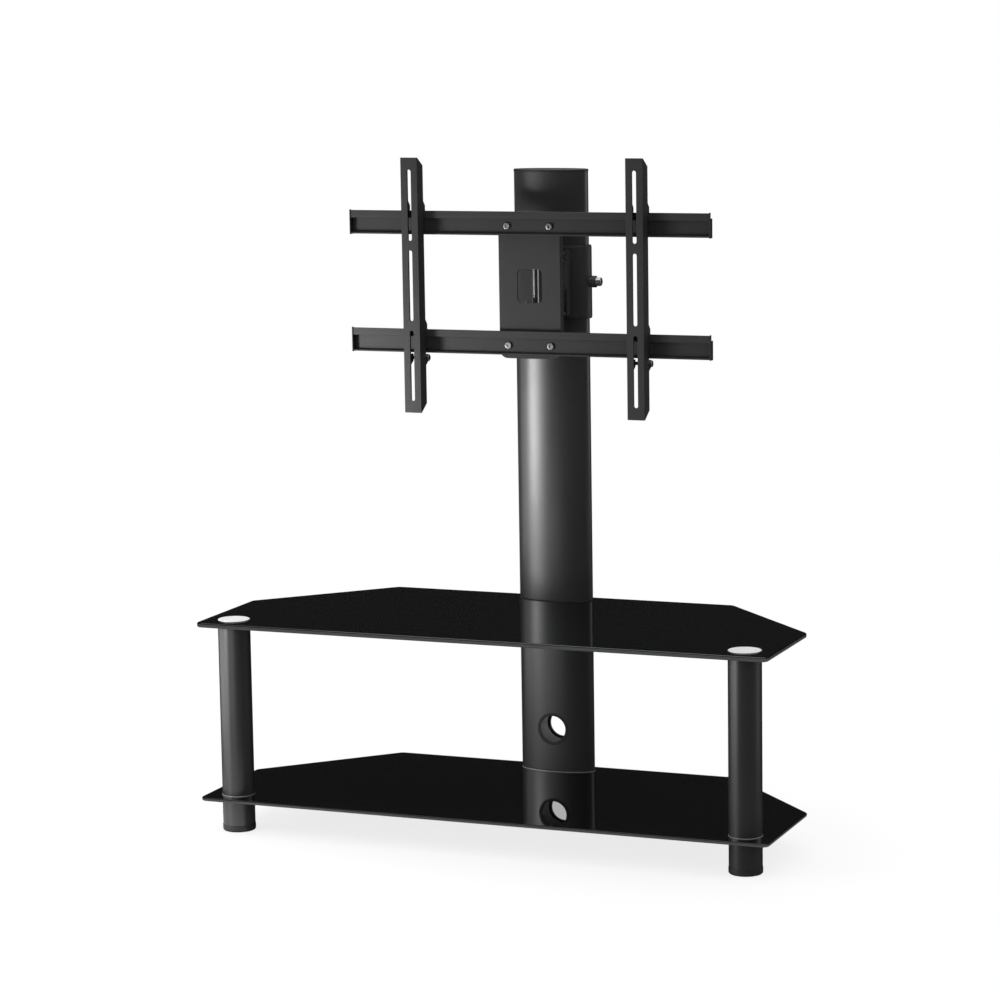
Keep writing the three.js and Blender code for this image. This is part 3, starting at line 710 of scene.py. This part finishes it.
def base_ring(name, node, profile, halves, centre):
    """A coated ring whose outer side and rounded edges, the first half of its profile's rows, take a
    pale grey finish: a painted highlight that shows as a thin bright line."""
    points, rows = swept_oval(profile, halves, closed=True)
    outer = len(profile) // 2 * ROUND_STEPS
    highlight_band = moved([(points, rows[:outer])], centre)
    coated = moved([(points, rows[outer:])], centre)
    return finished(
        name, coated, "stand", "gloss_black_steel", [node], others=highlight_band, other="ring_painted_highlight"
    )


for side in ("left", "right"):
    low, high, middle = box_of(f"{side}_leg_tube")
    leg_radius = (high[0] - low[0]) / 2
    pad_low, pad_high, _ = box_of(f"{side}_foot_pad")
    tube_low = box_of(f"{side}_foot_tube")[0][2]
    pad_radius = (pad_high[0] - pad_low[0]) / 2
    plug_radius = leg_radius - FOOT_PLUG_INSET
    turned(
        f"{side}_foot_pad_moulded", f"{side}_foot_pad", "stand", "black_plastic",
        softened(
            [(0, 0), (pad_radius, 0), (pad_radius, tube_low), (plug_radius, tube_low),
             (plug_radius, pad_high[2]), (0, pad_high[2])],
            [0, FOOT_PAD_ROUND, FOOT_PAD_TOP_ROUND, 0, FOOT_PAD_TOP_ROUND, 0], closed=False,
        ),
    )
    for tube in ("foot_tube", "leg_tube"):
        node = f"{side}_{tube}"
        turned(
            f"{node}_gloss", node, "stand", "gloss_black_steel",
            tube_profile(node, leg_radius, leg_radius - LEG_WALL, TUBE_EDGE), closed=True,
        )
    for ring in ("foot_gasket", "leg_gasket", "cap_gasket"):
        node = f"{side}_{ring}"
        turned(
            f"{node}_round", node, "stand", "black_rubber",
            ring_profile(node, leg_radius - GASKET_BAND, 0.24 * MM), closed=True,
        )
    node = f"{side}_leg_ring"
    base_ring(
        f"{node}_round", node, ring_profile(node, leg_radius - GASKET_BAND, RING_EDGE),
        (0, 0), (middle[0], middle[1], 0),
    )
    cap = f"{side}_leg_cap"
    cap_low, cap_high, _ = box_of(cap)
    cap_radius = (cap_high[0] - cap_low[0]) / 2
    cap_top = cap_high[2]
    cap_seat = box_of(f"{side}_cap_gasket")[1][2]
    groove = (CAP_GROOVE_RADIUS - CAP_GROOVE_WIDTH / 2, CAP_GROOVE_RADIUS + CAP_GROOVE_WIDTH / 2)
    floor_of_groove = cap_top - CAP_GROOVE_DEPTH
    turned(
        f"{cap}_brushed", cap, "stand", "brushed_silver",
        softened(
            [(0, cap_seat), (cap_radius, cap_seat), (cap_radius, cap_top), (groove[1], cap_top),
             (groove[1], floor_of_groove), (groove[0], floor_of_groove), (groove[0], cap_top),
             (0, cap_top)],
            [0, 0.1 * MM, 0.4 * MM, 0.08 * MM, 0.08 * MM, 0.08 * MM, 0.08 * MM, 0],
            closed=False,
        ),
    )


# Oval column
column_low, column_high, column_middle = box_of("lower_column")
column_halves = tuple((column_high - column_low)[:2] / 2)
column_axis = (column_middle[0], column_middle[1], 0)


def column_ring(name, node, finish, profile, closed=True, body="stand"):
    parts = moved([swept_oval(profile, column_halves, closed)], column_axis)
    return finished(name, parts, body, finish, [node])


def column_wall(name, node, hole_height, hole_sides):
    low, high, _ = box_of(node)
    outside, inside = oval_shell(
        column_halves, COLUMN_WALL, low[2], high[2], hole_height, hole_sides
    )
    # The inner skin takes a pale grey finish: uncoated steel, partly painted light, made paler so that
    # the shaded inside of the tube reads as lit
    return finished(
        name, moved(outside, column_axis), "stand", "satin_black_steel", [node],
        edge=0.35 * MM, others=moved(inside, column_axis), other="tube_inside_painted_light",
    )


def grommet(name, node, height, side):
    """A rubber ring in a cable hole: at angle t the section's point (r, d) lies at x = r cos t and
    z = r sin t, and y follows the wall, side * (b * sqrt(1 - (x / a) ** 2) + d)."""
    inner = -COLUMN_WALL
    seat = CABLE_HOLE_RADIUS - 0.1 * MM
    section = softened(
        [(GROMMET_BORE, inner - GROMMET_BAND), (GROMMET_BORE, GROMMET_PROUD),
         (GROMMET_LIP, GROMMET_PROUD), (GROMMET_LIP, 0), (seat, 0), (seat, inner),
         (GROMMET_LIP, inner), (GROMMET_LIP, inner - GROMMET_BAND)],
        [0.4 * MM, 0.4 * MM, 0.4 * MM, 0, 0, 0, 0, 0.4 * MM],
    )
    r, d = section[:, 0][:, None], section[:, 1][:, None]
    t = np.arange(GROMMET_STEPS) * 2 * pi / GROMMET_STEPS
    x, z = r * np.cos(t), r * np.sin(t)
    a, b = column_halves
    y = side * (b * np.sqrt(1 - (x / a) ** 2) + d)
    points = np.stack([x, y, z + height], axis=-1).reshape(-1, 3)
    rows = grid_quads(len(section), GROMMET_STEPS, closed=True).reshape(-1, 4)
    parts = moved([(points, rows)], column_axis)
    return finished(name, parts, "stand", "black_rubber", [node])


def inner_oval(inset):
    """The column's inner oval as an outline, for the plates welded into the tube."""
    t = np.arange(ROUND_STEPS) * 2 * pi / ROUND_STEPS
    wide, deep = (half - COLUMN_WALL / 2 - inset for half in column_halves)
    return np.column_stack([
        column_axis[0] + wide * np.cos(t),
        column_axis[1] + deep * np.sin(t),
    ])


def welded_plates(name, heights, passes):
    """The plates inside a column segment that its bolts pull on; a plate has a cable pass where passes
    says so.
    """
    parts, faces = [], []
    for low, cable_pass in zip(heights, passes):
        holes = [
            circle(COLUMN_BOLT_HOLE, side * COLUMN_BOLT_X, column_axis[1]) for side in (-1, 1)
        ]
        if cable_pass:
            holes.append(circle(CABLE_PASS, 0, column_axis[1]))
        more_parts, more_faces = plate(inner_oval, holes, low, low + COLUMN_PLATE, 0.3 * MM)
        parts += more_parts
        faces += more_faces
    return finished(name, parts, "stand", "satin_black_steel", flats=faces)


def flat_section(node, round_over):
    """The closed section of an oval ring that fills a CAD node's height, over the tube's wall."""
    low, high, _ = box_of(node)
    lip = (high[0] - low[0]) / 2 - column_halves[0]
    corners = [(lip, low[2]), (lip, high[2]), (-COLUMN_WALL, high[2]), (-COLUMN_WALL, low[2])]
    return softened(corners, round_over)


column_wall("lower_column_tube", "lower_column", CABLE_HOLE_HEIGHT, (-1, 1))
column_wall("upper_column_tube", "upper_column", CABLE_ENTRY_HEIGHT, (1,))
grommet("lower_front_grommet", "lower_column", CABLE_HOLE_HEIGHT, -1)
grommet("lower_rear_grommet", "lower_column", CABLE_HOLE_HEIGHT, 1)
grommet("upper_rear_grommet", "upper_column", CABLE_ENTRY_HEIGHT, 1)
welded_plates(
    "lower_column_plates",
    (column_low[2] + 0.2 * MM, column_high[2] - COLUMN_PLATE - 0.2 * MM),
    (False, True),
)
upper_low = box_of("upper_column")[0][2]
welded_plates("upper_column_plate", (upper_low + 0.2 * MM,), (True,))

for node in ("column_foot_gasket", "lower_column_gasket", "upper_column_gasket"):
    column_ring(f"{node}_oval", node, "black_rubber", flat_section(node, 0.2 * MM))
base_ring(
    "column_base_ring_oval", "column_base_ring", flat_section("column_base_ring", RING_EDGE),
    column_halves, column_axis,
)

low, high, _ = box_of("column_foot")
section = [(0, low[2]), (0, high[2]), (-COLUMN_WALL, high[2]), (-COLUMN_WALL, low[2])]
column_ring(
    "column_foot_tube", "column_foot", "satin_black_steel", softened(section, TUBE_EDGE)
)
foot_low = low[2]
low, high, _ = box_of("column_foot_pad")
lip = (high[0] - low[0]) / 2 - column_halves[0]
plug = -COLUMN_WALL - 0.3 * MM
column_ring(
    "column_foot_pad_moulded", "column_foot_pad", "black_plastic",
    softened(
        [(0, 0), (lip, 0), (lip, foot_low), (plug, foot_low), (plug, high[2])],
        [0, FOOT_PAD_ROUND, FOOT_PAD_TOP_ROUND, 0, 0], closed=False,
    ),
    closed=False,
)
low, high, _ = box_of("column_top_cap")
lip = (high[0] - low[0]) / 2 - column_halves[0]
seat = box_of("upper_column")[1][2]
column_ring(
    "column_lid", "column_top_cap", "black_plastic",
    softened(
        [(plug, low[2]), (plug, seat), (lip, seat), (lip, high[2]), (-2 * MM, high[2])],
        [0, 0, 0.3 * MM, 1.4 * MM, 0], closed=False,
    ),
    closed=False,
)


# Height carriage
sleeve_low, sleeve_high, _ = box_of("height_sleeve")
mount_height = (sleeve_low[2] + sleeve_high[2]) / 2
pad_front = sleeve_low[1]
section = [
    (SLEEVE_OUTER, sleeve_low[2]), (SLEEVE_OUTER, sleeve_high[2]),
    (SLEEVE_INNER, sleeve_high[2]), (SLEEVE_INNER, sleeve_low[2]),
]
column_ring(
    "height_sleeve_tube", "height_sleeve", "mount_black_steel", softened(section, 0.7 * MM),
    body="carriage",
)


def pad_outline(inset):
    """The pad in front of the sleeve, seen from above: a straight front and a rear that follows
    the middle of the sleeve's wall."""
    depth = (SLEEVE_INNER + SLEEVE_OUTER) / 2
    a, b = (half + depth for half in column_halves)
    x = np.linspace(PAD_WIDTH / 2 - inset, inset - PAD_WIDTH / 2, BORE_STEPS)
    rear = np.column_stack([x, column_axis[1] - b * np.sqrt(1 - (x / a) ** 2)])
    front = np.array([[x[-1], pad_front + inset], [x[0], pad_front + inset]])
    return np.concatenate([front, rear])


parts, faces = plate(
    pad_outline, [], mount_height - PAD_HEIGHT / 2, mount_height + PAD_HEIGHT / 2, 0.8 * MM
)
finished("sleeve_pad", parts + faces, "carriage", "mount_black_steel", ["height_sleeve"])

boss_reach = sleeve_high[0] - column_halves[0] - SLEEVE_INNER
boss = swept_oval(softened(
    [(CLAMP_BOSS_RADIUS, 0), (CLAMP_BOSS_RADIUS, boss_reach), (5 * MM, boss_reach)],
    [0, 1.2 * MM, 0], closed=False,
))
parts = []
for direction in (-1, 1):
    parts += moved(
        [boss],
        (direction * (column_halves[0] + SLEEVE_INNER), column_axis[1], mount_height),
        (direction, 0, 0),
    )
finished("sleeve_bosses", parts, "carriage", "mount_black_steel", ["height_sleeve"])

for level, direction in (("upper", 1), ("lower", -1)):
    edge = mount_height + direction * (sleeve_high[2] - sleeve_low[2]) / 2
    flange = SLEEVE_OUTER - LINER_FLANGE_INSET
    section = np.array([
        (LINER_INNER, -LINER_HEIGHT), (LINER_OUTER, -LINER_HEIGHT), (LINER_OUTER, 0),
        (flange, 0), (flange, LINER_FLANGE), (LINER_INNER, LINER_FLANGE),
    ])
    section[:, 1] = edge + direction * section[:, 1]
    column_ring(
        f"{level}_liner", f"{level}_sleeve_liner", "black_plastic",
        softened(section, [0.3 * MM, 0.3 * MM, 0, 0.4 * MM, 0.6 * MM, 0.3 * MM]),
        body="carriage",
    )


# Fasteners
def socket_screw(radius, height, socket, shank=0.0):
    """A screw head with a hexagon socket, along +Z from its seat: rings of radius r over the
    height z, whose inner ones take the hexagon's own distance apothem / cos(angle to a flat)."""
    rim = softened(
        [(radius, 0), (radius, height), (1.25 * socket, height)], [0, 0.3 * height, 0],
        closed=False,
    )
    t = np.arange(SCREW_STEPS) * 2 * pi / SCREW_STEPS
    to_flat = (t + pi / 6) % (pi / 3) - pi / 6
    hexagon = socket / np.cos(to_flat)
    rings = [np.full(SCREW_STEPS, r) for r in rim[:, 0]] + [hexagon, hexagon, 0 * hexagon]
    levels = [*rim[:, 1], height, SOCKET_FLOOR * height, SOCKET_FLOOR * height]
    start = [np.zeros(SCREW_STEPS)]
    if shank:
        start += [np.full(SCREW_STEPS, shank), np.full(SCREW_STEPS, shank)]
        levels = [-2 * radius, -2 * radius, 0.0] + levels
    else:
        levels = [0.0] + levels
    reach = np.stack(start + rings)
    points = np.stack([
        reach * np.cos(t),
        reach * np.sin(t),
        np.broadcast_to(np.array(levels)[:, None], reach.shape),
    ], axis=-1)
    return points.reshape(-1, 3), grid_quads(len(levels), SCREW_STEPS).reshape(-1, 4)


def screws(name, places, axis, size, body, nodes=()):
    """Several screws as one piece, with the sizes that socket_screw takes."""
    head = socket_screw(*size)
    parts = []
    for place in places:
        parts += moved([head], place, axis)
    return finished(name, parts, body, "zinc_steel", nodes)


# Swivel, head, rails and arms
from_node("swivel_base_bracket", "swivel_base", "carriage", "mount_black_steel", MOUNT_EDGE)
from_node("swivel_head_bracket", "swivel_head", "head", "mount_black_steel", MOUNT_EDGE)
from_node("swivel_pin_nut", "swivel_nut", "carriage", "zinc_steel", MOUNT_EDGE)
for level in ("upper", "lower"):
    from_node(f"{level}_rail_channel", f"{level}_rail", "head", "mount_black_steel", MOUNT_EDGE)
    for side in ("left", "right"):
        from_node(
            f"{level}_rail_{side}_end", f"{level}_rail_{side}_cap", "head", "black_plastic",
            MOUNT_EDGE,
        )
for side in ("left", "right"):
    from_node(
        f"{side}_arm_channel", f"{side}_screen_arm", f"{side}_arm", "mount_black_steel", MOUNT_EDGE
    )

for level in ("upper", "lower"):
    node = f"{level}_swivel_washer"
    turned(
        f"{level}_washer", node, "carriage", "pale_nylon",
        ring_profile(node, WASHER_BORE, 0.3 * MM), closed=True,
    )
low, high, _ = box_of("swivel_pin")
head_radius = (high[0] - low[0]) / 2
head_seat = high[2] - PIN_HEAD
turned(
    "swivel_pin_turned", "swivel_pin", "carriage", "zinc_steel",
    softened(
        [(0, low[2]), (PIN_RADIUS, low[2]), (PIN_RADIUS, head_seat), (head_radius, head_seat),
         (head_radius, high[2]), (0, high[2])],
        [0, 1 * MM, 0, 0.4 * MM, 1.6 * MM, 0], closed=False,
    ),
)

for side, direction in (("left", -1), ("right", 1)):
    low, high, middle = box_of(f"{side}_clamp_bolt")
    head_end = direction * max(abs(low[0]), abs(high[0]))
    screws(
        f"{side}_clamp_screw",
        [(head_end - direction * CLAMP_SCREW[1], middle[1], middle[2])],
        (direction, 0, 0),
        CLAMP_SCREW,
        "carriage",
        nodes=[f"{side}_clamp_bolt"],
    )
    low, high, middle = box_of(f"{side}_arm_lock_bolt")
    for end in (-1, 1):
        edge = high[0] if end > 0 else low[0]
        screws(
            f"{side}_arm_screw_{'right' if end > 0 else 'left'}",
            [(edge - end * ARM_SCREW[1], middle[1], middle[2])],
            (end, 0, 0),
            ARM_SCREW,
            f"{side}_arm",
            nodes=[f"{side}_arm_lock_bolt"],
        )

screws(
    "swivel_base_screws",
    [
        (x, pad_front - BASE_PLATE, mount_height + z)
        for x in (-BASE_SCREW_X, BASE_SCREW_X) for z in (-BASE_SCREW_Z, BASE_SCREW_Z)
    ],
    (0, -1, 0),
    BASE_SCREW,
    "carriage",
)
rail_seat = box_of("upper_rail")[1][1] - RAIL_SCREW_SINK
screws(
    "rail_screws",
    [
        (x, rail_seat, box_of(f"{level}_rail_left_cap")[0][2] + RAIL_SCREW_RISE)
        for x in (-RAIL_SCREW_X, RAIL_SCREW_X) for level in ("upper", "lower")
    ],
    (0, -1, 0),
    RAIL_SCREW,
    "head",
)


# Floor, backdrop light and lamps
def stage_plane(name, half, height, material):
    mesh = bpy.data.meshes.new(name)
    corners = [
        (-half, -half, height), (half, -half, height), (half, half, height), (-half, half, height),
    ]
    mesh.from_pydata(corners, [], [(0, 1, 2, 3)])
    mesh.materials.append(material)
    plane = bpy.data.objects.new(name, mesh)
    bpy.context.scene.collection.objects.link(plane)


def floor_finish():
    """Pale floor that keeps a light shadow of the object and fades into the background."""
    material, nodes = new_finish("pale_floor")
    where = nodes.place()
    distance = nodes.out(
        nodes.add("ShaderNodeVectorMath", {"operation": "LENGTH"}, {0: where}), "Value"
    )
    away = distance.above(*FLOOR_FADE).higher(FLOOR_CLEARNESS)
    matt = nodes.add("ShaderNodeBsdfDiffuse", None, {"Color": grey(FLOOR_GREY)})
    clear = nodes.add("ShaderNodeBsdfTransparent")
    mix = nodes.add(
        "ShaderNodeMixShader", None, {0: away, 1: nodes.out(matt), 2: nodes.out(clear)}
    )
    nodes.add("ShaderNodeOutputMaterial", None, {"Surface": nodes.out(mix)})
    return material


stage_plane("floor", FLOOR_HALF, FLOOR_HEIGHT, floor_finish())


# An even glow for the cards that only reflections see: painted reflections, dark and bright
def reflection_glow_finish(level):
    material, nodes = new_finish("reflection_only_glow")
    glow = nodes.add("ShaderNodeEmission", None, {"Color": grey(1.0), "Strength": level})
    nodes.add("ShaderNodeOutputMaterial", None, {"Surface": nodes.out(glow)})
    return material


def reflected_card(name, points, faces, level):
    """A card with an even glow that only the object's reflections see."""
    mesh = bpy.data.meshes.new(name)
    mesh.from_pydata(points.tolist(), [], faces.tolist())
    mesh.materials.append(reflection_glow_finish(level))
    card = bpy.data.objects.new(name, mesh)
    bpy.context.scene.collection.objects.link(card)
    card.visible_camera = False
    card.visible_diffuse = False
    card.visible_transmission = False
    card.visible_shadow = False


def dark_reflection_cards():
    """Dark glowing cards round and under the object, seen only by its reflections: a painted dark
    reflection of dark surroundings in the glass and the gloss.
    """
    reach = np.array([0, DARK_CARD_RADIUS, DARK_CARD_RADIUS])[:, None]
    height = np.array([DARK_CARD_LOW, DARK_CARD_LOW, DARK_CARD_TOP])[:, None]
    t = np.arange(DARK_CARD_STEPS) * 2 * pi / DARK_CARD_STEPS
    points = np.stack([
        reach * np.cos(t),
        reach * np.sin(t),
        np.broadcast_to(height, (3, DARK_CARD_STEPS)),
    ], axis=-1)
    rows = grid_quads(3, DARK_CARD_STEPS).reshape(-1, 4)
    reflected_card("dark_reflection_cards", points.reshape(-1, 3), rows, DARK_REFLECTION_GLOW)


dark_reflection_cards()

# A glowing card behind the lower cable hole that only reflections see: a painted reflection of the
# white background through the hole, in the hole's image in the lower glass
hole_rim = circle(CABLE_HOLE_RADIUS, 0, CABLE_HOLE_HEIGHT)
card_y = np.full(len(hole_rim), column_axis[1] + column_halves[1] + HOLE_REFLECTION_GAP)
reflected_card(
    "hole_reflection_card",
    np.column_stack([hole_rim[:, 0], card_y, hole_rim[:, 1]]),
    np.arange(len(hole_rim))[None, :],
    HOLE_REFLECTION_GLOW,
)

# A glowing white sector before the left foot that only reflections see: a painted reflection of a
# white floor, which the left foot mirrors
foot_middle = box_of("left_foot_pad")[2]
turn = np.radians(np.linspace(*FOOT_REFLECTION_TURN, FOOT_REFLECTION_STEPS))
foot_reflection_sector = np.concatenate([
    np.column_stack([
        foot_middle[0] + reach * np.sin(turn),
        foot_middle[1] - reach * np.cos(turn),
        np.full(FOOT_REFLECTION_STEPS, FOOT_REFLECTION_HEIGHT),
    ])
    for reach in FOOT_REFLECTION_REACH
])
step = np.arange(FOOT_REFLECTION_STEPS - 1)
reflected_card(
    "foot_reflection_card",
    foot_reflection_sector,
    np.column_stack([
        step, step + 1, step + 1 + FOOT_REFLECTION_STEPS, step + FOOT_REFLECTION_STEPS,
    ]),
    FOOT_REFLECTION_GLOW,
)


def softbox(name, azimuth, height, distance, size, energy, aim=0.5):
    """A soft lamp round the object at an azimuth, 0 in front and 90 to the right."""
    lamp_data = bpy.data.lights.new(name, "AREA")
    lamp_data.shape = "RECTANGLE"
    lamp_data.size, lamp_data.size_y = size
    lamp_data.energy = energy
    lamp = bpy.data.objects.new(name, lamp_data)
    a = radians(azimuth)
    place = Vector((distance * sin(a), -distance * cos(a), height))
    facing = (Vector((0, 0, aim)) - place).to_track_quat("-Z", "Y")
    lamp.matrix_world = Matrix.Translation(place) @ facing.to_matrix().to_4x4()
    lamp.visible_camera = False
    bpy.context.scene.collection.objects.link(lamp)
    return lamp


# These lamps leave the glass alone, which would mirror them as white fields from some sides
all_but_glass = bpy.data.collections.new("all_but_glass")
for shelf_piece in shelves:
    all_but_glass.objects.link(shelf_piece)
for entry in all_but_glass.collection_objects:
    entry.light_linking.link_state = "EXCLUDE"

for lamp in (
    softbox("key_softbox", -44, 0.27, 2.8, (1.0, 0.3), 15.5, 0.27),
    softbox("column_softbox", -50, 0.57, 1.08, (0.2, 0.28), 3.6, 0.57),
    softbox("near_softbox", -76, 0.4, 1.1, (0.5, 0.76), 1.85, 0.4),
    softbox("foot_softbox", -56, 0.12, 1.08, (0.6, 0.2), 0.36, 0.12),
    softbox("leg_softbox", -20, 0.2, 1.0, (0.4, 0.4), 0.46, 0.2),
    softbox("side_softbox", -104, 0.8, 1.8, (1.9, 1.6), 1.5, 0.8),
    softbox("rim_softbox", 115, 1.0, 2.8, (1.4, 1.6), 8),
    softbox("right_leg_softbox", 91.4, 0.25, 0.913, (0.25, 0.4), 0.08, 0.25),
    softbox("back_softbox", 202, 2.9, 2.2, (2.0, 0.8), 14, 0.4),
):
    lamp.light_linking.receiver_collection = all_but_glass
softbox("top_softbox", 0, 3.2, 0.3, (3.2, 2.6), 22, 0.3)

world = bpy.data.worlds.new("white_studio")
bpy.context.scene.world = world
world.use_nodes = True
nodes = Nodes(world.node_tree)
rays = nodes.add("ShaderNodeLightPath")
seen = (
    nodes.out(rays, "Is Camera Ray")
    .higher(nodes.out(rays, "Is Glossy Ray"))
    .higher(nodes.out(rays, "Is Transmission Ray"))
)
backdrop = nodes.add(
    "ShaderNodeBackground", None, {"Color": grey(1.0), "Strength": AMBIENT + (1 - AMBIENT) * seen}
)
nodes.add("ShaderNodeOutputWorld", None, {"Surface": nodes.out(backdrop)})
